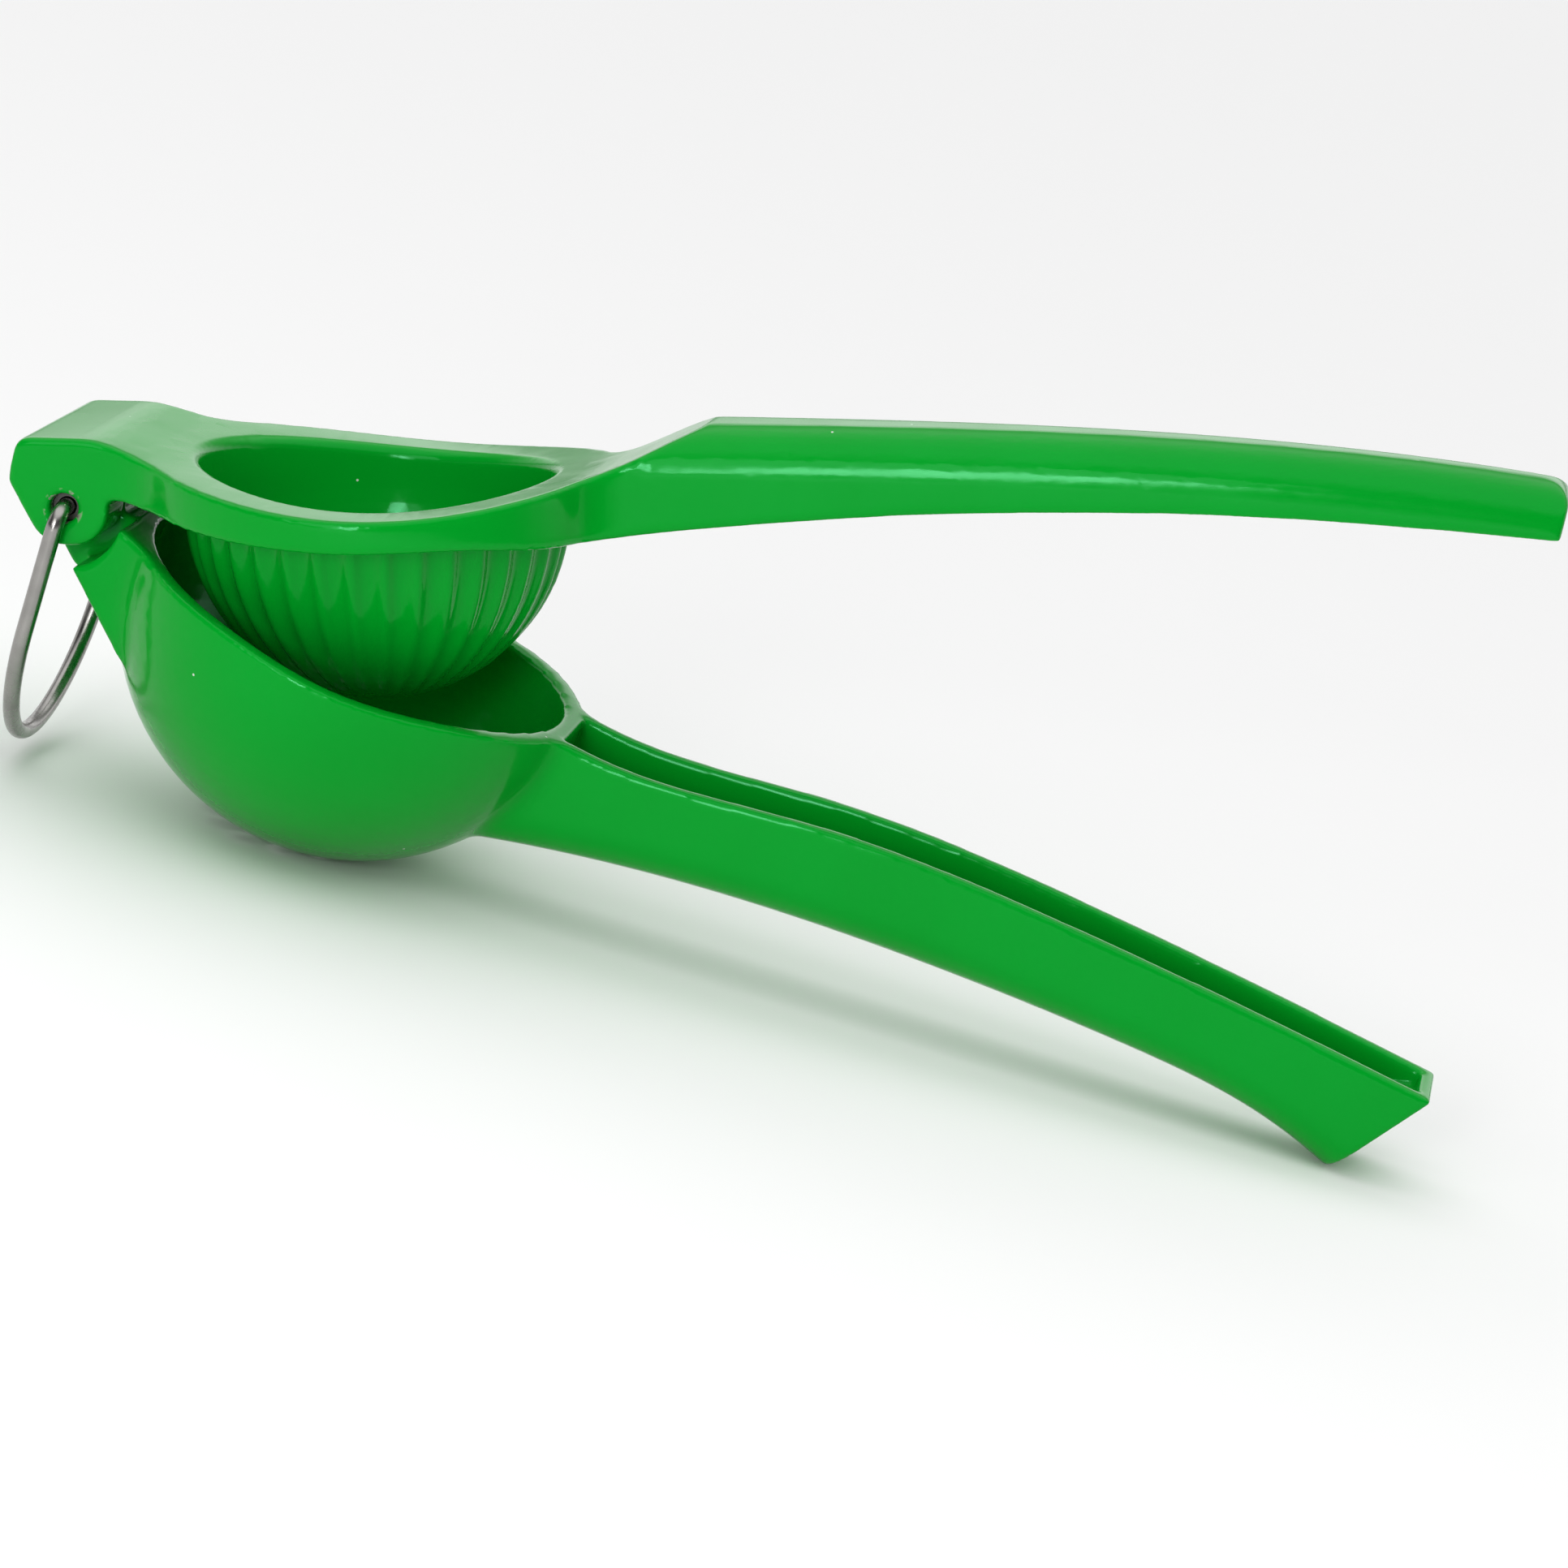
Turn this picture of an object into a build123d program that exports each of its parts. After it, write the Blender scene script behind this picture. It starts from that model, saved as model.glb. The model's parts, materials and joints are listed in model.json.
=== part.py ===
"""Hand lime squeezer: two hinged castings, a hollow hinge pin and a wire hanging ring.

Each arm is drawn in its own frame: hinge axis at the origin, u along the arm, w upwards.
The part frame has the table at Z = 0, its origin in the middle of the bowl's flat land
and X along the arms.
"""

import math
import os

from build123d import *

# Bowl of the lower arm
bowl_inner_radius = 31.0
bowl_wall = 3.05
bowl_drop = 1.6
neck_length = 7.3
neck_blend_share = 0.4776
neck_foot_angle = 48.93
neck_foot_inset = 0.41
neck_inset = 0.5
root_blend = 4.0
land_radius = 7.0
drain_diameter = 3.2
drain_rings = ((6, 4.4), (10, 8.9))

# Press cup and collar of the upper arm
peel_gap = 4.15
cup_wall = 2.4
cup_raise = 0.2
cup_setback = 1.3
collar_setback = 0.6
collar_thickness = 4.5
cup_mouth_edge = 1.6
cup_lip = 1.7
rib_count = 36
groove_radius = 2.4
groove_depth = 0.95
groove_lead = 5.0
groove_reach = 70.0

# Hinge
hinge_width = 34.6
tongue_width = 16.0
tongue_side_gap = 0.3
tongue_radius = 6.0
tongue_end_gap = 0.4
ear_radius = 5.2
ear_stretch = 1.0
ear_relief_gap = 3.0
block_top = 9.9
block_overhang = 7.9
block_bulge_w = 3.8
block_shoulder = 6.4
block_corner = 2.0
flare_radius = 14.0
pin_diameter = 4.0
pin_bore = 2.7
pin_recess = 2.2
pin_running_gap = 0.05

# Handles
handle_length = 128.0
press_tip_setback = 1.2
handle_root_width = 18.6
handle_tip_width = 14.4
handle_wall = 2.4
crown_height = 11.8
crown_corner = 6.6
crown_lead = 30.0
break_slope = 0.42
tip_slant = 1.0
tip_round = 3.0
tip_round_w = 6.7
hollow_start_w = 3.5
hollow_depth = 12.0
channel_lip = 1.5
channel_setback = 0.6
keel_corner = 5.6
neck_run = 11.2
handle_flare = 8.0
handle_flare_run = 3.5

# Hanging ring
wire_diameter = 2.35
ring_drop = 36.5
ring_side_gap = 0.6
ring_bend = 2.8
ring_insert = 9.0
ring_lean = 2.4

# Stance: slope of the lower arm on the table and opening between the arms
standing_slope = 7.0
rest_opening = 22.5

# Derived places along the arms
bowl_outer_radius = bowl_inner_radius + bowl_wall
reach = bowl_outer_radius + neck_length
bowl_end = reach + bowl_outer_radius
tip = bowl_end + handle_length
press_tip = tip - press_tip_setback
press_reach = reach - cup_setback
tip_round_u = press_tip + tip_slant - tip_round
break_u = bowl_end + neck_run
cup_radius = bowl_inner_radius - peel_gap
cup_bore = cup_radius - cup_wall
cup_centre_w = cup_raise - bowl_drop
collar_radius = bowl_outer_radius - collar_setback
relief_radius = ear_radius + ear_relief_gap
half_hinge = hinge_width / 2
neck_blend = neck_blend_share * (bowl_outer_radius - half_hinge)
slot_width = tongue_width + 2 * tongue_side_gap
half_root = handle_root_width / 2
half_tip = handle_tip_width / 2
span = 2 * tip

# Derived stance
slope = math.radians(standing_slope)
land_depth = math.sqrt(bowl_outer_radius**2 - land_radius**2)
pivot_x = -reach * math.cos(slope) + bowl_drop * math.sin(slope)
pivot_z = land_depth + reach * math.sin(slope) + bowl_drop * math.cos(slope)
pivot = Vector(pivot_x, 0, pivot_z)


def arm_frames(tilt):
    """Return the top plane (u, y) and the side plane (u, w) of an arm tilted up by tilt degrees."""
    along = Vector(math.cos(math.radians(tilt)), 0, math.sin(math.radians(tilt)))
    up = Vector(-along.Z, 0, along.X)
    return Plane(pivot, x_dir=along, z_dir=up), Plane(pivot, x_dir=along, z_dir=(0, -1, 0))


def moved_to(top, u, w):
    """Return an arm's top plane moved along the arm to u and up to w."""
    return Plane(top.from_local_coords((u, 0, w)), x_dir=top.x_dir, z_dir=top.z_dir)


bowl_top, bowl_side = arm_frames(-standing_slope)
press_top, press_side = arm_frames(rest_opening - standing_slope)
pin_axis = Plane(pivot, x_dir=(1, 0, 0), z_dir=(0, 1, 0))

# Lower edge of the upper arm and upper edge of the lower arm, which meet when closed
press_low = [
    (relief_radius, 1.15),
    (reach - 25, -0.4),
    (reach - 11, -1.85),
    (reach + 4, -2.4),
    (reach + 19, -2.6),
    (bowl_end - 5, -3.8),
    (bowl_end + 4.5, -2.9),
    (bowl_end + 21, -1.05),
    (bowl_end + 38, 0.45),
    (bowl_end + 60, 1.4),
    (bowl_end + 76, 1.65),
    (bowl_end + 103, 0.8),
    (press_tip, -0.8),
]
bowl_high = [
    (relief_radius, 0.65),
    (reach - 25, -0.95),
    (reach - 11, -2.4),
    (reach + 4, -3.9),
    (reach + 19, -3.6),
    (bowl_end - 5, -3.6),
    (bowl_end + 4.5, -4.2),
    (bowl_end + 34.5, -0.7),
    (bowl_end + 74.5, 1.0),
    (tip - 25, 0.3),
    (tip, -0.9),
]


def shifted(points, rise):
    """Return side-view points moved up by rise."""
    return [(u, w + rise) for u, w in points]


collar_top = [
    (2.0, block_top - 0.3),
    (relief_radius + 1.5, block_top - 2.1),
    (reach - 19, 4.7),
    (reach + 3, collar_thickness - 2.4),
    (bowl_end - 9.5, 3.8),
    (bowl_end - 2, 5.5),
    (bowl_end + 6.5, 9.3),
    (break_u, crown_height - 0.4),
]
crown = [
    (break_u - crown_lead, crown_height - 0.4),
    (break_u + 20, crown_height),
    (press_tip - 51, 11.1),
    (press_tip + tip_round, 6.1),
]
foot_u = tip - 9.5
foot_w = -(pivot_z + 0.3 - foot_u * math.sin(slope)) / math.cos(slope)
keel = [
    (bowl_end - 14, -24.5),
    (bowl_end + 27, -16.0),
    (bowl_end + 55, -13.4),
    (tip - 42, -12.4),
    (tip - 24, -13.2),
    (foot_u, foot_w),
]

neck_foot = math.sqrt(bowl_outer_radius**2 - half_hinge**2) - neck_foot_inset
neck_foot_u = reach - neck_foot * math.cos(math.radians(neck_foot_angle))
neck_foot_w = -bowl_drop - neck_foot * math.sin(math.radians(neck_foot_angle))
neck_corners = [
    (0, 5.0),
    (0, -7.0),
    (3.7, -7.2),
    (neck_foot_u, neck_foot_w),
    (reach, neck_foot_w),
    (reach, 5.0),
]
tongue_root = [
    (-4.4, -4.0),
    (-0.7, -7.0),
    (1.9, -9.3),
    (7.0, -11.0),
    (relief_radius + 3, -8.2),
    (relief_radius + 3, 0.2),
]


def taper(start, end, inset):
    """Return the plan corners of a tapered handle from start to end, inset on its sides."""
    rate = (half_root - half_tip) / handle_length
    near = half_root - rate * (start - bowl_end) - inset
    far = half_root - rate * (end - bowl_end) - inset
    return [(start, -near), (end, -far), (end, far), (start, near)]


press_up = Axis(pivot, press_top.z_dir)
bowl_up = Axis(pivot, bowl_top.z_dir)

# Upper handle: an arched bar that starts under the collar
with BuildPart() as press_handle:
    with BuildSketch(press_top.offset(-span)):
        Polygon(*taper(press_reach + cup_radius, press_tip + tip_round, 0), align=None)
    extrude(amount=2 * span)
    with BuildSketch(press_side.offset(-span)):
        with BuildLine():
            crown_line = Spline(*crown)
            Polyline(
                crown_line @ 1,
                (crown[-1][0], -span),
                (crown[0][0], -span),
                crown_line @ 0,
            )
        make_face()
    extrude(amount=2 * span, mode=Mode.INTERSECT)
    crown_edges = press_handle.edges().filter_by(GeomType.BSPLINE).sort_by(press_up)[-2:]
    fillet(crown_edges, radius=crown_corner)

# Hollow of the upper handle, open below
with BuildPart() as press_hollow:
    with BuildSketch(press_top.offset(-span)):
        Polygon(*taper(bowl_end, press_tip - handle_wall, handle_wall), align=None)
    extrude(amount=2 * span)
    with BuildSketch(press_side.offset(-span)):
        with BuildLine():
            roof_line = Spline(*shifted(crown[1:], -handle_wall))
            Polyline(
                roof_line @ 1,
                (press_tip, -hollow_depth),
                (bowl_end, -hollow_depth),
                (bowl_end, hollow_start_w),
                roof_line @ 0,
            )
        make_face()
    extrude(amount=2 * span, mode=Mode.INTERSECT)
    roof_faces = press_hollow.faces().sort_by(press_up)[-2:]
    roof_edges = [edge for face in roof_faces for edge in face.edges()]
    roof_sides = [edge for edge in roof_edges if abs(edge.center().Y) > handle_wall]
    fillet(roof_sides, radius=crown_corner - handle_wall)

# Press cup: a ribbed hemisphere under the collar
cup_plane = moved_to(press_top, press_reach, cup_centre_w)
groove_bow = groove_depth / (1 - math.cos(math.radians(groove_reach)))
groove_arc = cup_radius + groove_radius - groove_depth + groove_bow
groove_centre = (-groove_bow, 0, 0)
groove_start = Plane(groove_centre).rotated((0, -groove_lead, 0))
with BuildPart() as rib_groove:
    with BuildSketch(groove_start):
        with Locations((groove_arc, 0)):
            Circle(groove_radius)
    revolve(axis=Axis(groove_centre, (0, 1, 0)), revolution_arc=groove_lead + groove_reach)
with BuildPart(cup_plane) as press_cup:
    Sphere(cup_radius, arc_size1=-90, arc_size2=0, align=(Align.CENTER, Align.CENTER, Align.MAX))
    Cylinder(cup_radius, cup_lip, align=(Align.CENTER, Align.CENTER, Align.MIN))
    with PolarLocations(0, rib_count):
        add(rib_groove.part, mode=Mode.SUBTRACT)
    Sphere(cup_bore, mode=Mode.SUBTRACT)
    Cylinder(cup_bore, block_top, align=(Align.CENTER, Align.CENTER, Align.MIN), mode=Mode.SUBTRACT)

# Upper arm: plan of block, collar and handle root, cut to the side profile, then cup and hollows
ear_left = Vector(-block_overhang, block_bulge_w)
ear_rise = math.atan2(ear_left.Y, ear_left.X)
ear_turn = math.degrees(ear_rise + math.acos(ear_radius / ear_left.length))
with BuildPart() as press_arm:
    with BuildSketch(press_top.offset(-span)) as collar_plan:
        with Locations((press_reach, 0)):
            Rectangle(span, hinge_width, align=(Align.MAX, Align.CENTER))
        with Locations((press_reach, 0)):
            Circle(collar_radius)
        Polygon(*taper(press_reach, bowl_end + handle_flare_run, 0), align=None)
        fillet(collar_plan.vertices().group_by(Axis.X)[-2], radius=handle_flare)
        fillet(collar_plan.vertices().group_by(Axis.X)[1], radius=flare_radius)
    extrude(amount=2 * span)
    add(press_handle.part)
    with BuildSketch(press_side.offset(-span)):
        with BuildLine():
            nose = CenterArc((0, 0), ear_radius, ear_turn, 270 - ear_turn)
            heel = CenterArc((ear_stretch, 0), ear_radius, 270, 90)
            Line(nose @ 1, heel @ 0)
            top_line = Spline(*collar_top, tangents=((1, 0), (1, break_slope)))
            low_line = Spline(*press_low)
            shoulder = (-block_shoulder, (top_line @ 0).Y)
            FilletPolyline(nose @ 0, ear_left, shoulder, top_line @ 0, radius=block_corner)
            tip_arc = CenterArc((tip_round_u, tip_round_w - tip_round), tip_round, 0, 90)
            above_crown = crown_height + handle_wall
            Polyline(top_line @ 1, (break_u, above_crown), (tip_round_u, above_crown), tip_arc @ 1)
            Line(tip_arc @ 0, low_line @ 1)
            Polyline(low_line @ 0, ((heel @ 1).X, (low_line @ 0).Y), heel @ 1)
        make_face()
    extrude(amount=2 * span, mode=Mode.INTERSECT)
    with BuildSketch(cup_plane):
        Circle(cup_bore)
    extrude(amount=block_top, both=True, mode=Mode.SUBTRACT)
    round_faces = press_arm.faces().filter_by(GeomType.CYLINDER)
    bore_face = round_faces.sort_by(lambda face: abs(face.radius - cup_bore))[0]
    bore_loops = bore_face.edges().filter_by(GeomType.LINE, reverse=True)
    mouth_edges = [edge for edge in bore_loops if press_top.to_local_coords(edge.center()).Z > 0]
    fillet(mouth_edges, radius=cup_mouth_edge)
    add(press_hollow.part, mode=Mode.SUBTRACT)
    add(press_cup.part)
    with BuildSketch(press_side.offset(-slot_width / 2)):
        with BuildLine():
            slot_roof = tongue_radius + tongue_end_gap
            Polyline(
                (0, slot_roof),
                (-span, slot_roof),
                (-span, -span),
                (slot_roof, -span),
                (slot_roof, 0),
            )
            CenterArc((0, 0), slot_roof, 0, 90)
        make_face()
    extrude(amount=slot_width, mode=Mode.SUBTRACT)
    with BuildSketch(pin_axis.offset(-span)):
        Circle(pin_diameter / 2 + pin_running_gap)
    extrude(amount=2 * span, mode=Mode.SUBTRACT)
press_arm.part.label = "press_arm"

# Channel of the lower handle
with BuildPart() as bowl_channel:
    with BuildSketch(bowl_top.offset(-span)):
        Polygon(*taper(bowl_end - channel_setback, tip - handle_wall, handle_wall), align=None)
    extrude(amount=2 * span)
    with BuildSketch(bowl_side.offset(-span)):
        with BuildLine():
            floor_line = Spline(*shifted(keel[:-1], handle_wall))
            Polyline(
                floor_line @ 1,
                (tip, bowl_high[-1][1] - channel_lip),
                (tip, span),
                (bowl_end, span),
                floor_line @ 0,
            )
        make_face()
    extrude(amount=2 * span, mode=Mode.INTERSECT)
    floor_edges = bowl_channel.edges().filter_by(GeomType.BSPLINE).sort_by(bowl_up)[:2]
    fillet(floor_edges, radius=keel_corner - handle_wall)

# Lower handle: a keel-bottomed bar from the bowl to the foot
with BuildPart() as bowl_handle:
    with BuildSketch(bowl_top.offset(-span)):
        Polygon(*taper(reach, tip, 0), align=None)
    extrude(amount=2 * span)
    with BuildSketch(bowl_side.offset(-span)):
        with BuildLine():
            keel_line = Spline(*keel)
            high_line = Spline(*bowl_high)
            Polyline(keel_line @ 1, high_line @ 1)
            Polyline(high_line @ 0, keel_line @ 0)
        make_face()
    extrude(amount=2 * span, mode=Mode.INTERSECT)
    keel_edges = bowl_handle.edges().filter_by(GeomType.BSPLINE).sort_by(bowl_up)[:2]
    fillet(keel_edges, radius=keel_corner)

# Lower arm: tongue, neck and bowl with the handle
bowl_plane = moved_to(bowl_top, reach, -bowl_drop)
with BuildPart() as bowl_arm:
    with BuildSketch(bowl_side.offset(-half_hinge)):
        Polygon(*neck_corners, align=None)
    extrude(amount=hinge_width)
    with Locations(bowl_plane.location):
        Sphere(bowl_outer_radius)
    circles = bowl_arm.edges().filter_by(GeomType.CIRCLE)
    neck_edges = [edge for edge in circles if edge.radius < bowl_outer_radius - neck_inset]
    fillet(neck_edges, radius=neck_blend)
    add(bowl_handle.part)
    fillet(bowl_arm.edges(Select.NEW), radius=root_blend)
    with BuildSketch(bowl_side.offset(-span)):
        with BuildLine():
            high_line = Spline(*bowl_high)
            Polyline(high_line @ 1, (tip, span), (0, span), (0, bowl_high[0][1]), high_line @ 0)
        make_face()
    extrude(amount=2 * span, mode=Mode.SUBTRACT)
    add(bowl_channel.part, mode=Mode.SUBTRACT)
    with BuildSketch(pin_axis.offset(-span)):
        Circle(relief_radius)
    extrude(amount=2 * span, mode=Mode.SUBTRACT)
    with BuildSketch(bowl_side.offset(-tongue_width / 2)):
        Circle(tongue_radius)
        Polygon((0, 0), *tongue_root, align=None)
    extrude(amount=tongue_width)
    with Locations(bowl_plane.location):
        Sphere(bowl_inner_radius, mode=Mode.SUBTRACT)
    with BuildSketch(pin_axis.offset(-span)):
        Circle(pin_diameter / 2)
    extrude(amount=2 * span, mode=Mode.SUBTRACT)
    for count, radius in drain_rings:
        with BuildSketch(bowl_plane):
            with PolarLocations(radius, count):
                Circle(drain_diameter / 2)
        extrude(amount=-span, mode=Mode.SUBTRACT)
    split(bisect_by=Plane.XY, keep=Keep.TOP)
bowl_arm.part.label = "bowl_arm"

# Hollow pin, pressed in the tongue
with BuildPart() as hinge_pin:
    with BuildSketch(pin_axis.offset(pin_recess - half_hinge)):
        Circle(pin_diameter / 2)
        Circle(pin_bore / 2, mode=Mode.SUBTRACT)
    extrude(amount=hinge_width - 2 * pin_recess)
hinge_pin.part.label = "hinge_pin"

# Hanging ring: wire ends in the pin, legs outside the ears, half round at the bottom
leg_y = half_hinge + ring_side_gap + wire_diameter / 2
lean = math.radians(ring_lean)
ring_face = Plane(pivot, x_dir=(0, 1, 0), z_dir=(math.cos(lean), 0, -math.sin(lean)))
with BuildPart() as hanging_ring:
    with BuildLine(ring_face) as wire_path:
        inner = half_hinge - ring_insert
        spring = -(ring_drop - leg_y)
        left = FilletPolyline((-inner, 0), (-leg_y, 0), (-leg_y, spring), radius=ring_bend)
        bottom = RadiusArc((-leg_y, spring), (leg_y, spring), -leg_y)
        right = FilletPolyline((leg_y, spring), (leg_y, 0), (inner, 0), radius=ring_bend)
    with BuildSketch(Plane(wire_path.line @ 0, z_dir=wire_path.line % 0)):
        Circle(wire_diameter / 2)
    sweep()
hanging_ring.part.label = "hanging_ring"

os.makedirs("parts", exist_ok=True)
for piece in (press_arm.part, bowl_arm.part, hinge_pin.part, hanging_ring.part):
    export_step(piece, f"parts/{piece.label}.step")
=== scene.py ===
"""Green enamelled lime squeezer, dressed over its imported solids.

The two castings are copied from the solids and softened as thick enamel softens an edge.
The pin and the wire ring keep their solids and take steel finishes.
"""

import json
import logging
from dataclasses import dataclass, field
from enum import Enum

import bmesh
import bpy
from mathutils import Matrix, Vector
from mathutils.bvhtree import BVHTree
from mathutils.kdtree import KDTree


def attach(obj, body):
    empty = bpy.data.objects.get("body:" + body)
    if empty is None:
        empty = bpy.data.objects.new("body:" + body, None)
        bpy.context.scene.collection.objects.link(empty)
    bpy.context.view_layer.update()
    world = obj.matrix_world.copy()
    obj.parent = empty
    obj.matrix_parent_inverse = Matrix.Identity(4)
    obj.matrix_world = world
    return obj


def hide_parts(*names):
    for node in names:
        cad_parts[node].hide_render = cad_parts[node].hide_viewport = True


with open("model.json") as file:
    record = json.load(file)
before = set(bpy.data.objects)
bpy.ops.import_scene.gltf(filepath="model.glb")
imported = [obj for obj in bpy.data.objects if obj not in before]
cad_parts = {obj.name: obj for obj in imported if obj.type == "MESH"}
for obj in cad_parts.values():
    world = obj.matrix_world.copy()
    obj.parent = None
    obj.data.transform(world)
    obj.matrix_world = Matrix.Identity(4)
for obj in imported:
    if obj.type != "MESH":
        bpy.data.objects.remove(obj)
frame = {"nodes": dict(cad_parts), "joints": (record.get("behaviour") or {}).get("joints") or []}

log = logging.getLogger("lime_squeezer")

Triple = tuple[float, float, float]
Colour = Triple
Span = tuple[float, float]

UNIT: Span = (0.0, 1.0)
RANGE_INPUTS = ("From Min", "From Max", "To Min", "To Max")
# Sockets of a colour Mix node
MIX_FACTOR = 0
MIX_UNDER = 6
MIX_OVER = 7
MIX_RESULT = 2


class Body(Enum):
    """Rigid bodies that carry a casting."""

    LOWER = "lower_arm"
    UPPER = "upper_arm"


class Slot(Enum):
    """Material slots that the castings take their finish from."""

    ENAMEL = "enamel"


class NodePad:
    """Short way to place and join shader nodes of one material."""

    def __init__(self, name: str) -> None:
        """Start an empty node material with a Principled shader.

        Args:
            name: Name of the material.
        """
        self.material = bpy.data.materials.new(name)
        self.material.use_nodes = True
        self.tree = self.material.node_tree
        self.tree.nodes.clear()
        self.output = self.tree.nodes.new("ShaderNodeOutputMaterial")
        self.shader = self.tree.nodes.new("ShaderNodeBsdfPrincipled")
        self.place = self.tree.nodes.new("ShaderNodeTexCoord")
        self.join(self.shader, "BSDF", self.output, "Surface")

    def join(self, source: bpy.types.Node, out: str | int, target: bpy.types.Node,
             into: str | int) -> None:
        """Link one node's output to another's input.

        Args:
            source: Node that gives the value.
            out: Name or number of its output.
            target: Node that takes the value.
            into: Name or number of its input.
        """
        self.tree.links.new(source.outputs[out], target.inputs[into])

    def noise(self, scale: float, detail: float,
              place: bpy.types.Node | None = None) -> bpy.types.Node:
        """Return a noise texture on Object coordinates.

        Args:
            scale: Waves per metre.
            detail: Octaves of finer noise.
            place: Node whose Vector output replaces the Object coordinates.

        Returns:
            The noise node.
        """
        node = self.tree.nodes.new("ShaderNodeTexNoise")
        node.inputs["Scale"].default_value = scale
        node.inputs["Detail"].default_value = detail
        if place is None:
            self.join(self.place, "Object", node, "Vector")
        else:
            self.join(place, "Vector", node, "Vector")
        return node

    def span(self, source: bpy.types.Node, out: str, given: Span,
             result: Span = UNIT) -> bpy.types.Node:
        """Return a Map Range node that carries the given span to the result span.

        Args:
            source: Node that gives the value.
            out: Name of its output.
            given: Values that become the ends of the result.
            result: Ends of the result.

        Returns:
            The Map Range node.
        """
        node = self.tree.nodes.new("ShaderNodeMapRange")
        for name, value in zip(RANGE_INPUTS, (*given, *result)):
            node.inputs[name].default_value = value
        self.join(source, out, node, "Value")
        return node

    def tint(self, factor: bpy.types.Node, under: Colour | bpy.types.Node,
             over: Colour) -> bpy.types.Node:
        """Return a colour mix.

        Args:
            factor: Node whose Result output blends the two.
            under: Colour, or an earlier mix, at factor 0.
            over: Colour at factor 1.

        Returns:
            The mix node, whose third output is the colour.
        """
        node = self.tree.nodes.new("ShaderNodeMix")
        node.data_type = "RGBA"
        self.join(factor, "Result", node, MIX_FACTOR)
        if isinstance(under, tuple):
            node.inputs[MIX_UNDER].default_value = (*under, 1.0)
        else:
            self.join(under, MIX_RESULT, node, MIX_UNDER)
        node.inputs[MIX_OVER].default_value = (*over, 1.0)
        return node

    def product(self, first: bpy.types.Node, second: bpy.types.Node) -> bpy.types.Node:
        """Return a Map Range node that holds the product of two Map Range results.

        Args:
            first: First factor.
            second: Second factor.

        Returns:
            A Map Range node with the product as Result.
        """
        node = self.tree.nodes.new("ShaderNodeMath")
        node.operation = "MULTIPLY"
        self.join(first, "Result", node, 0)
        self.join(second, "Result", node, 1)
        return self.span(node, "Value", UNIT)

    def bump(self, source: bpy.types.Node, out: str, height: float,
             before: bpy.types.Node | None = None) -> bpy.types.Node:
        """Return a bump node in metres of height.

        Args:
            source: Node that gives the height.
            out: Name of its output.
            height: Height in metres of a change of 1.
            before: Bump node whose normal this one starts from.

        Returns:
            The bump node.
        """
        node = self.tree.nodes.new("ShaderNodeBump")
        node.inputs["Strength"].default_value = 1.0
        node.inputs["Distance"].default_value = height
        self.join(source, out, node, "Height")
        if before is not None:
            self.join(before, "Normal", node, "Normal")
        return node


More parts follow.
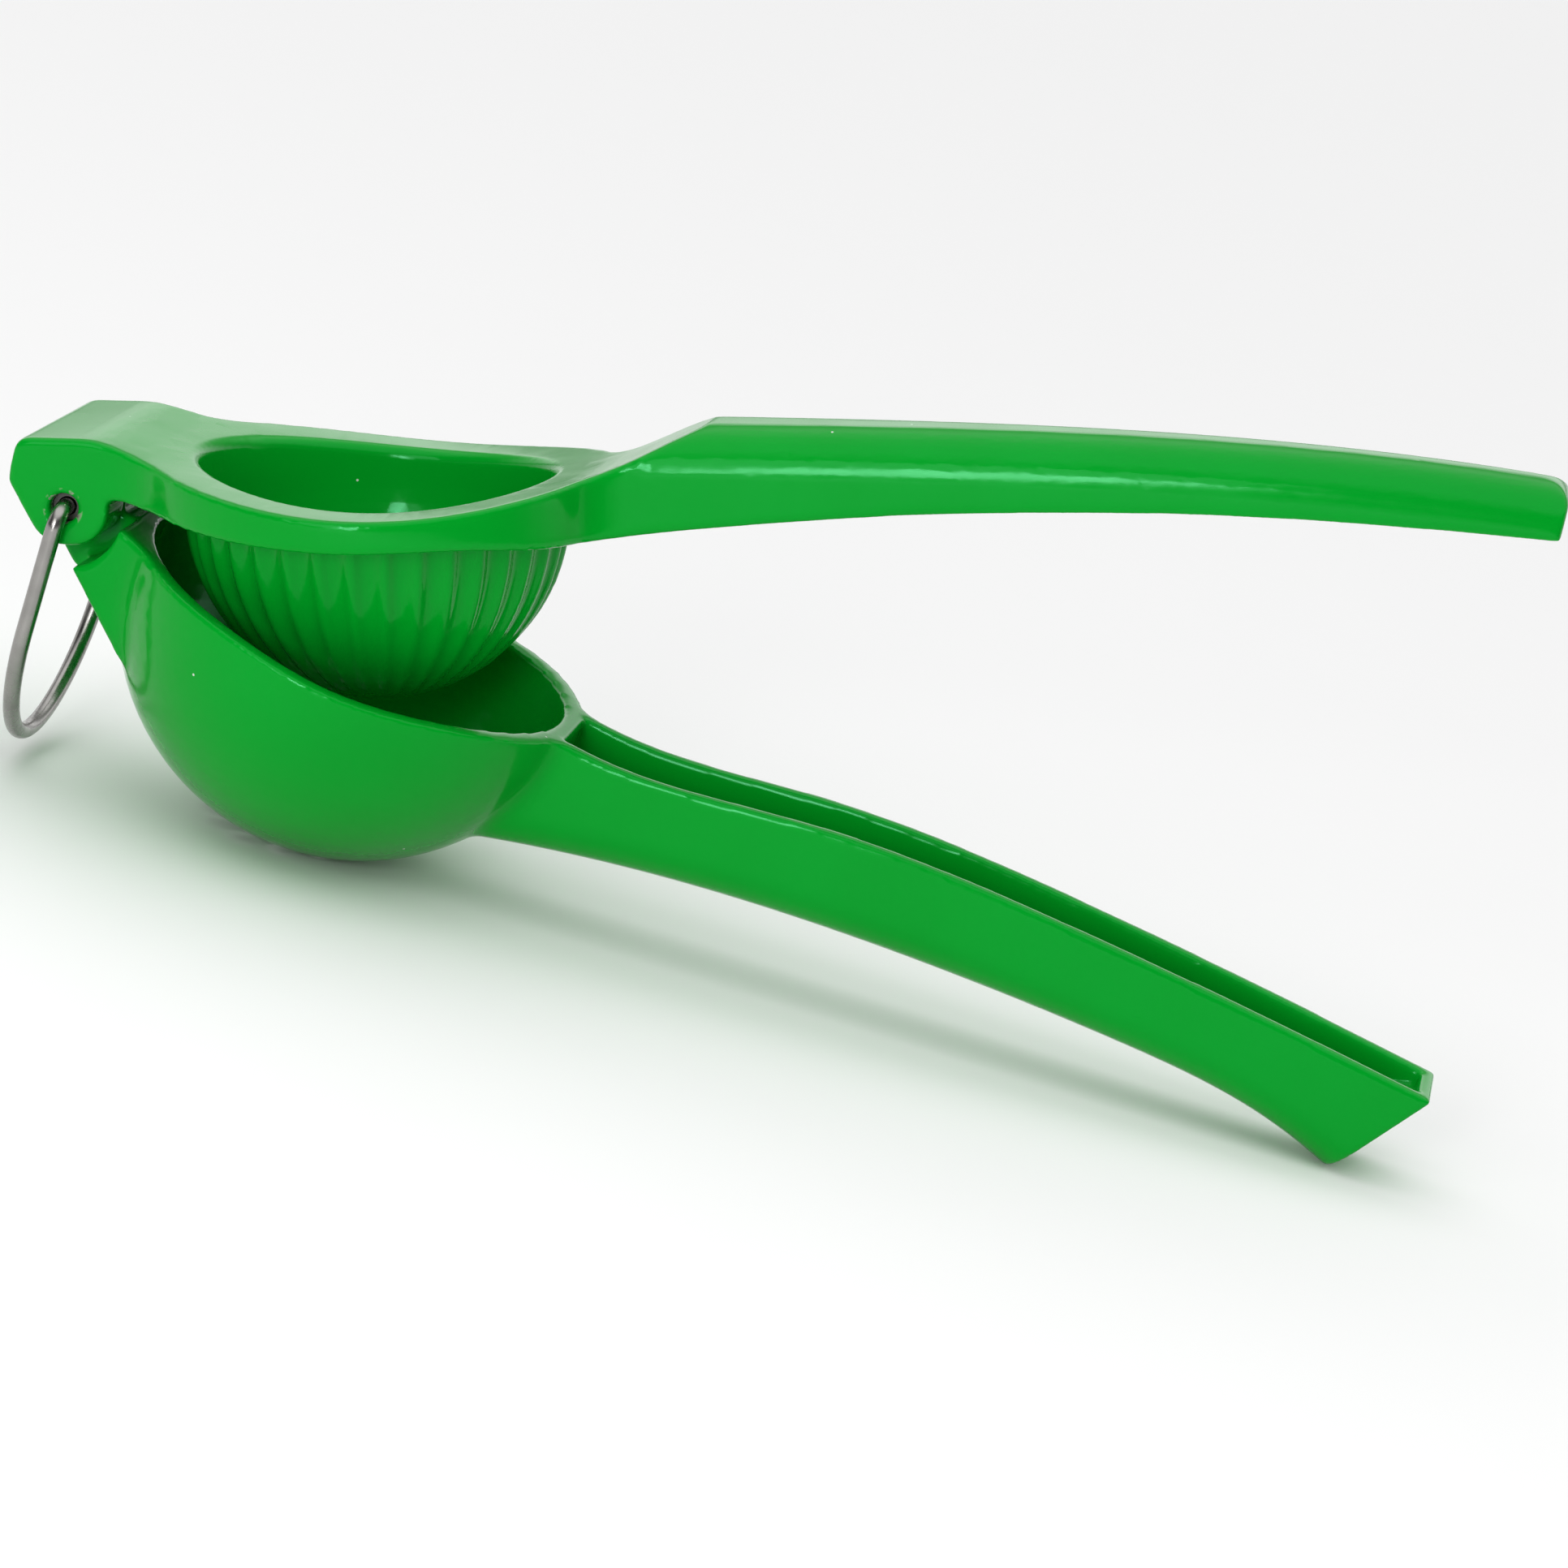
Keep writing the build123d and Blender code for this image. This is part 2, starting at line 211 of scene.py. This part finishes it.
@dataclass(frozen=True)
class EnamelFinish:
    """Thick gloss enamel on cast aluminium, lengths in metres and scales in waves per metre."""

    name: str = "green_enamel"
    green: Colour = (0.0005, 0.325, 0.019)
    deep: Colour = (0.0003, 0.265, 0.011)
    speck: Colour = (0.62, 0.70, 0.60)
    bare: Colour = (0.50, 0.47, 0.42)
    bare_metal: float = 0.8
    roughness: float = 0.13
    smoother: float = 0.03
    rougher: float = 0.05
    ior: float = 1.34
    sheen_tint: Colour = (0.3, 1.0, 0.6)
    cloud_scale: float = 38.0
    cloud_given: Span = (0.35, 0.7)
    cloud_share: Span = (0.0, 0.35)
    haze_scale: float = 90.0
    haze_given: Span = (0.3, 0.75)
    pore_scale: float = 210.0
    pore_size: Span = (0.045, 0.03)
    pore_pick: Span = (0.68, 0.7)
    sag_scale: float = 70.0
    sag_height: float = 0.00004
    peel_scale: float = 750.0
    peel_height: float = 0.000006
    chip_reach: Span = (0.0029, 0.0023)
    fleck_scale: float = 700.0
    fleck_given: Span = (0.56, 0.62)

    def material(self, chip_centre: Vector) -> bpy.types.Material:
        """Return the enamel with pinholes, orange peel and chips round the hinge hole.

        Args:
            chip_centre: Point on the hinge axis.

        Returns:
            The material.
        """
        pad = NodePad(self.name)
        shader = pad.shader
        shader.inputs["IOR"].default_value = self.ior
        shader.inputs["Specular Tint"].default_value = (*self.sheen_tint, 1.0)
        cloud = pad.span(pad.noise(self.cloud_scale, 2.0), "Fac", self.cloud_given, self.cloud_share)
        colour = pad.tint(cloud, self.green, self.deep)
        colour = pad.tint(self.pores(pad), colour, self.speck)
        chips = self.chips(pad, chip_centre)
        colour = pad.tint(chips, colour, self.bare)
        pad.join(colour, MIX_RESULT, shader, "Base Color")
        metal = pad.span(chips, "Result", UNIT, (0.0, self.bare_metal))
        pad.join(metal, "Result", shader, "Metallic")
        rough = (self.roughness - self.smoother, self.roughness + self.rougher)
        haze = pad.span(pad.noise(self.haze_scale, 3.0), "Fac", self.haze_given, rough)
        pad.join(haze, "Result", shader, "Roughness")
        sag = pad.bump(pad.noise(self.sag_scale, 1.0), "Fac", self.sag_height)
        peel = pad.bump(pad.noise(self.peel_scale, 2.0), "Fac", self.peel_height, sag)
        pad.join(peel, "Normal", shader, "Normal")
        return pad.material

    def pores(self, pad: NodePad) -> bpy.types.Node:
        """Return a mask of a few pale pinholes.

        Args:
            pad: Material that takes the nodes.

        Returns:
            A Map Range node that is 1 in a pinhole.
        """
        cells = pad.tree.nodes.new("ShaderNodeTexVoronoi")
        cells.inputs["Scale"].default_value = self.pore_scale
        pad.join(pad.place, "Object", cells, "Vector")
        dot = pad.span(cells, "Distance", self.pore_size)
        some = pad.span(cells, "Color", self.pore_pick)
        return pad.product(dot, some)

    def chips(self, pad: NodePad, centre: Vector) -> bpy.types.Node:
        """Return a mask of bare flecks close round the hinge hole.

        Args:
            pad: Material that takes the nodes.
            centre: Point on the hinge axis.

        Returns:
            A Map Range node that is 1 on bare metal.
        """
        turn = pad.tree.nodes.new("ShaderNodeMapping")
        turn.vector_type = "POINT"
        turn.inputs["Location"].default_value = (-centre.x, 0.0, -centre.z)
        turn.inputs["Scale"].default_value = (1.0, 0.0, 1.0)
        pad.join(pad.place, "Object", turn, "Vector")
        length = pad.tree.nodes.new("ShaderNodeVectorMath")
        length.operation = "LENGTH"
        pad.join(turn, "Vector", length, 0)
        near = pad.span(length, "Value", self.chip_reach)
        fleck = pad.span(pad.noise(self.fleck_scale, 2.0), "Fac", self.fleck_given)
        return pad.product(near, fleck)


@dataclass(frozen=True)
class SteelFinish:
    """Drawn or turned stainless steel."""

    name: str
    tone: Colour
    roughness: float
    along: Triple
    smoother: float = 0.08
    rougher: float = 0.1
    line_scale: float = 1600.0
    line_given: Span = (0.25, 0.8)
    line_height: float = 0.000008
    blotch_scale: float = 260.0
    blotch_given: Span = (0.3, 0.75)
    blotch_share: Span = (0.0, 0.8)
    dark_share: float = 0.72

    def material(self) -> bpy.types.Material:
        """Return the steel with fine draw lines and a faint mottled tone."""
        pad = NodePad(self.name)
        shader = pad.shader
        shader.inputs["Metallic"].default_value = 1.0
        stretch = pad.tree.nodes.new("ShaderNodeMapping")
        stretch.inputs["Scale"].default_value = self.along
        pad.join(pad.place, "Object", stretch, "Vector")
        lines = pad.noise(self.line_scale, 3.0, stretch)
        dark = tuple(self.dark_share * part for part in self.tone)
        blotch_noise = pad.noise(self.blotch_scale, 3.0)
        blotch = pad.span(blotch_noise, "Fac", self.blotch_given, self.blotch_share)
        colour = pad.tint(blotch, self.tone, dark)
        pad.join(colour, MIX_RESULT, shader, "Base Color")
        rough = (self.roughness - self.smoother, self.roughness + self.rougher)
        grain = pad.span(lines, "Fac", self.line_given, rough)
        pad.join(grain, "Result", shader, "Roughness")
        pad.join(pad.bump(lines, "Fac", self.line_height), "Normal", shader, "Normal")
        return pad.material


def scene_link(name: str, mesh: bpy.types.Mesh) -> bpy.types.Object:
    """Return a new object of that mesh in the scene.

    Args:
        name: Name of the object.
        mesh: Mesh that it shows.

    Returns:
        The object, at the origin.
    """
    piece = bpy.data.objects.new(name, mesh)
    bpy.context.scene.collection.objects.link(piece)
    return piece


@dataclass(frozen=True)
class CrispZone:
    """Lower part of a ball in which edges stay crisper than elsewhere."""

    centre: Vector
    up: Vector
    radius: float
    top: float
    share: float

    def softness(self, point: Vector) -> float:
        """Return the share of the usual edge softness at a point.

        Args:
            point: Point on the casting.

        Returns:
            The zone's share inside the zone and 1 outside.
        """
        away = point - self.centre
        inside = away.length < self.radius and away.dot(self.up) < self.top
        return self.share if inside else 1.0


@dataclass
class ArmCasting:
    """One enamelled casting, a softened copy of its solid, lengths in metres."""

    node: str
    name: str
    body: Body
    crisp: CrispZone | None = None
    voxel: float = 0.0003
    merge: float = 0.000001
    edge_angle: float = 0.45
    edge_step: float = 0.0004
    soft_turns: int = 16
    soft_share: float = 0.5
    edge_near: float = 0.0009
    edge_far: float = 0.0022
    settle_turns: int = 2
    triangles: int = 190000
    piece: bpy.types.Object | None = field(default=None, init=False)

    def build(self) -> bpy.types.Object:
        """Make the softened casting, let it ride and stand for its solid.

        Returns:
            The finished object.
        """
        solid = self.merged_solid()
        body = self.remeshed(solid)
        self.soften(body, solid)
        self.piece = scene_link(self.name, body)
        self.thin()
        faces = self.piece.data.polygons
        faces.foreach_set("use_smooth", [True] * len(faces))
        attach(self.piece, self.body.value)
        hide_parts(self.node)
        return self.piece

    def merged_solid(self) -> bpy.types.Mesh:
        """Return a copy of the solid's mesh with its loose triangles joined."""
        shape = bmesh.new()
        shape.from_mesh(frame["nodes"][self.node].data)
        bmesh.ops.remove_doubles(shape, verts=shape.verts, dist=self.merge)
        mesh = bpy.data.meshes.new(self.name + "_solid")
        shape.to_mesh(mesh)
        shape.free()
        return mesh

    def remeshed(self, solid: bpy.types.Mesh) -> bpy.types.Mesh:
        """Return the solid as an even skin of small quads.

        Args:
            solid: Joined mesh of the solid.

        Returns:
            The even mesh.
        """
        holder = scene_link(self.name + "_holder", solid)
        even = holder.modifiers.new("even_skin", "REMESH")
        even.mode = "VOXEL"
        even.voxel_size = self.voxel
        graph = bpy.context.evaluated_depsgraph_get()
        mesh = bpy.data.meshes.new_from_object(holder.evaluated_get(graph))
        bpy.data.objects.remove(holder)
        mesh.materials.clear()
        return mesh

    def edge_tree(self, solid: bpy.types.Mesh) -> KDTree:
        """Return a search tree of points along the solid's sharp edges.

        Args:
            solid: Joined mesh of the solid.

        Returns:
            The balanced tree.
        """
        shape = bmesh.new()
        shape.from_mesh(solid)
        points = []
        for edge in shape.edges:
            if edge.is_manifold and edge.calc_face_angle(0.0) < self.edge_angle:
                continue
            start, end = (vert.co for vert in edge.verts)
            count = max(1, int(edge.calc_length() / self.edge_step))
            points += [start.lerp(end, step / count) for step in range(count + 1)]
        shape.free()
        tree = KDTree(len(points))
        for number, point in enumerate(points):
            tree.insert(point, number)
        tree.balance()
        return tree

    def smooth(self, shape: bmesh.types.BMesh, turns: int) -> None:
        """Even out the skin.

        Args:
            shape: Skin, changed in place.
            turns: Number of passes.
        """
        for _turn in range(turns):
            bmesh.ops.smooth_vert(shape, verts=shape.verts, factor=self.soft_share,
                                  use_axis_x=True, use_axis_y=True, use_axis_z=True)

    def soften(self, mesh: bpy.types.Mesh, solid: bpy.types.Mesh) -> None:
        """Round the edges of the even skin and lay the rest back on the solid.

        Args:
            mesh: Even skin, changed in place.
            solid: Joined mesh of the solid.
        """
        edges = self.edge_tree(solid)
        solid_shape = bmesh.new()
        solid_shape.from_mesh(solid)
        surface = BVHTree.FromBMesh(solid_shape)
        shape = bmesh.new()
        shape.from_mesh(mesh)
        self.smooth(shape, self.soft_turns)
        for vert in shape.verts:
            _point, _number, away = edges.find(vert.co)
            soft = 1.0 if self.crisp is None else self.crisp.softness(vert.co)
            share = (away / soft - self.edge_near) / (self.edge_far - self.edge_near)
            share = min(1.0, max(0.0, share))
            if share > 0.0:
                on_solid = surface.find_nearest(vert.co)[0]
                vert.co = vert.co.lerp(on_solid, share * share * (3.0 - 2.0 * share))
        self.smooth(shape, self.settle_turns)
        shape.to_mesh(mesh)
        shape.free()
        solid_shape.free()

    def thin(self) -> None:
        """Bring the skin under the triangle count with a collapse."""
        count = 2 * len(self.piece.data.polygons)
        if count <= self.triangles:
            return
        fewer = self.piece.modifiers.new("fewer", "DECIMATE")
        fewer.ratio = self.triangles / count
        graph = bpy.context.evaluated_depsgraph_get()
        mesh = bpy.data.meshes.new_from_object(self.piece.evaluated_get(graph))
        self.piece.modifiers.remove(fewer)
        self.piece.data = mesh

    def dress(self, enamel: bpy.types.Material) -> None:
        """Give the casting its enamel.

        Args:
            enamel: Material of both castings.
        """
        self.piece.data.materials.clear()
        self.piece.data.materials.append(enamel)


@dataclass
class SteelFittings:
    """Hollow pin and wire ring, whose solids stay."""

    ring_finish: SteelFinish = SteelFinish("drawn_wire", (0.35, 0.34, 0.325), 0.25, (1.0, 1.0, 0.06))
    pin_finish: SteelFinish = SteelFinish("dark_pin", (0.09, 0.09, 0.085), 0.42, (1.0, 0.1, 1.0))

    def dress(self) -> None:
        """Give both steel solids their finish."""
        for node, finish in (("hanging_ring", self.ring_finish), ("hinge_pin", self.pin_finish)):
            materials = frame["nodes"][node].data.materials
            materials.clear()
            materials.append(finish.material())
            log.info("%s: finish %s", node, finish.name)


@dataclass(frozen=True)
class SoftBox:
    """One soft rectangular light."""

    name: str
    place: Triple
    aim: Triple
    size: float
    depth: float
    power: float

    def build(self) -> bpy.types.Object:
        """Return the light, turned to its aim."""
        data = bpy.data.lights.new(self.name, "AREA")
        data.shape = "RECTANGLE"
        data.size = self.size
        data.size_y = self.depth
        data.energy = self.power
        lamp = bpy.data.objects.new(self.name, data)
        bpy.context.scene.collection.objects.link(lamp)
        lamp.location = self.place
        ray = Vector(self.aim) - Vector(self.place)
        lamp.rotation_euler = ray.to_track_quat("-Z", "Y").to_euler()
        return lamp


@dataclass
class Studio:
    """Pale floor, soft light and the camera at the photograph's angle."""

    floor_size: float = 40.0
    floor_tone: Colour = (0.94, 0.94, 0.94)
    floor_gloss: float = 0.1
    grain_scale: float = 40.0
    grain_given: Span = (0.3, 0.7)
    grain_rough: Span = (0.75, 0.85)
    sides: Span = (-0.25, 0.35)
    wall_glow: Span = (0.12, 1.2)
    belt: Span = (0.22, 0.45)
    belt_share: Span = (1.0, 0.3)
    skirt: Span = (0.03, 0.13)
    skirt_share: Span = (0.25, 1.0)
    roof: Span = (0.5, 0.8)
    top_glow: float = 1.4
    lens: float = 122.98
    sensor: float = 36.0
    clip_start: float = 0.01
    right: Triple = (0.951221, 0.162283, 0.26238)
    up: Triple = (-0.294537, 0.224641, 0.928862)
    back: Triple = (0.091797, -0.960833, 0.261481)
    eye: Triple = (0.131005112, -0.712330017, 0.222053711)
    lights: tuple[SoftBox, ...] = (
        SoftBox("key", (-0.055, -0.88, 0.22), (0.03, 0.0, 0.045), 0.15, 0.3, 2.2),
        SoftBox("window", (-0.25, -0.82, 0.38), (0.03, 0.0, 0.045), 0.5, 0.42, 1.7),
    )

    def build(self) -> None:
        """Make floor, sky, lights and camera."""
        self.floor()
        self.sky()
        for light in self.lights:
            light.build()
        self.camera()

    def floor(self) -> None:
        """Lay the pale floor under the squeezer."""
        shape = bmesh.new()
        bmesh.ops.create_grid(shape, x_segments=1, y_segments=1, size=self.floor_size / 2)
        mesh = bpy.data.meshes.new("floor")
        shape.to_mesh(mesh)
        shape.free()
        pad = NodePad("pale_floor")
        pad.shader.inputs["Base Color"].default_value = (*self.floor_tone, 1.0)
        pad.shader.inputs["Specular IOR Level"].default_value = self.floor_gloss
        grain = pad.span(pad.noise(self.grain_scale, 2.0), "Fac", self.grain_given, self.grain_rough)
        pad.join(grain, "Result", pad.shader, "Roughness")
        mesh.materials.append(pad.material)
        scene_link("floor", mesh)

    def sky(self) -> None:
        """Set white surroundings: a bright band behind, bright overhead and dim in front."""
        world = bpy.data.worlds.new("white_room")
        world.use_nodes = True
        nodes = world.node_tree.nodes
        links = world.node_tree.links
        ground = nodes["Background"]
        place = nodes.new("ShaderNodeTexCoord")
        parts = nodes.new("ShaderNodeSeparateXYZ")
        links.new(place.outputs["Generated"], parts.inputs["Vector"])
        ramps = []
        for axis, given, result in (
            ("Y", self.sides, self.wall_glow),
            ("Z", self.belt, self.belt_share),
            ("Z", self.skirt, self.skirt_share),
            ("Z", self.roof, UNIT),
        ):
            ramp = nodes.new("ShaderNodeMapRange")
            ramp.interpolation_type = "SMOOTHSTEP"
            for name, value in zip(RANGE_INPUTS, (*given, *result)):
                ramp.inputs[name].default_value = value
            links.new(parts.outputs[axis], ramp.inputs["Value"])
            ramps.append(ramp.outputs["Result"])
        walls, belt, skirt, roof = ramps
        for dimmer in (belt, skirt):
            share = nodes.new("ShaderNodeMath")
            share.operation = "MULTIPLY"
            links.new(walls, share.inputs[0])
            links.new(dimmer, share.inputs[1])
            walls = share.outputs["Value"]
        glow = nodes.new("ShaderNodeMix")
        links.new(roof, glow.inputs["Factor"])
        links.new(walls, glow.inputs["A"])
        glow.inputs["B"].default_value = self.top_glow
        links.new(glow.outputs["Result"], ground.inputs["Strength"])
        ground.inputs["Color"].default_value = (1.0, 1.0, 1.0, 1.0)
        bpy.context.scene.world = world

    def camera(self) -> None:
        """Set the camera to the photograph's view."""
        data = bpy.data.cameras.new("photo_view")
        data.sensor_fit = "HORIZONTAL"
        data.sensor_width = self.sensor
        data.lens = self.lens
        data.clip_start = self.clip_start
        camera = bpy.data.objects.new("photo_view", data)
        bpy.context.scene.collection.objects.link(camera)
        turn = Matrix((self.right, self.up, self.back)).transposed().to_4x4()
        camera.matrix_world = Matrix.Translation(self.eye) @ turn
        bpy.context.scene.camera = camera


def main() -> None:
    """Build and dress the squeezer, then set the studio."""
    logging.basicConfig(level=logging.INFO, format="%(name)s: %(message)s")
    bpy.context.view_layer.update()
    bpy.context.scene.view_settings.view_transform = "Standard"
    hinge = Vector(frame["joints"][0]["pos_m"])
    enamel = EnamelFinish().material(hinge)
    # Ball of the ribbed cup, cut off below the collar
    ribs = CrispZone(
        centre=Vector((-0.00188, 0.0, 0.0493)),
        up=Vector((-0.26724, 0.0, 0.96363)),
        radius=0.0275,
        top=-0.0005,
        share=0.3,
    )
    castings = (
        ArmCasting("press_arm", "press_casting", Body.UPPER, ribs),
        ArmCasting("bowl_arm", "bowl_casting", Body.LOWER),
    )
    for casting in castings:
        piece = casting.build()
        casting.dress(enamel)
        log.info("%s: %d faces on %s", piece.name, len(piece.data.polygons), casting.body.value)
    SteelFittings().dress()
    Studio().build()


if __name__ == "__main__":
    main()
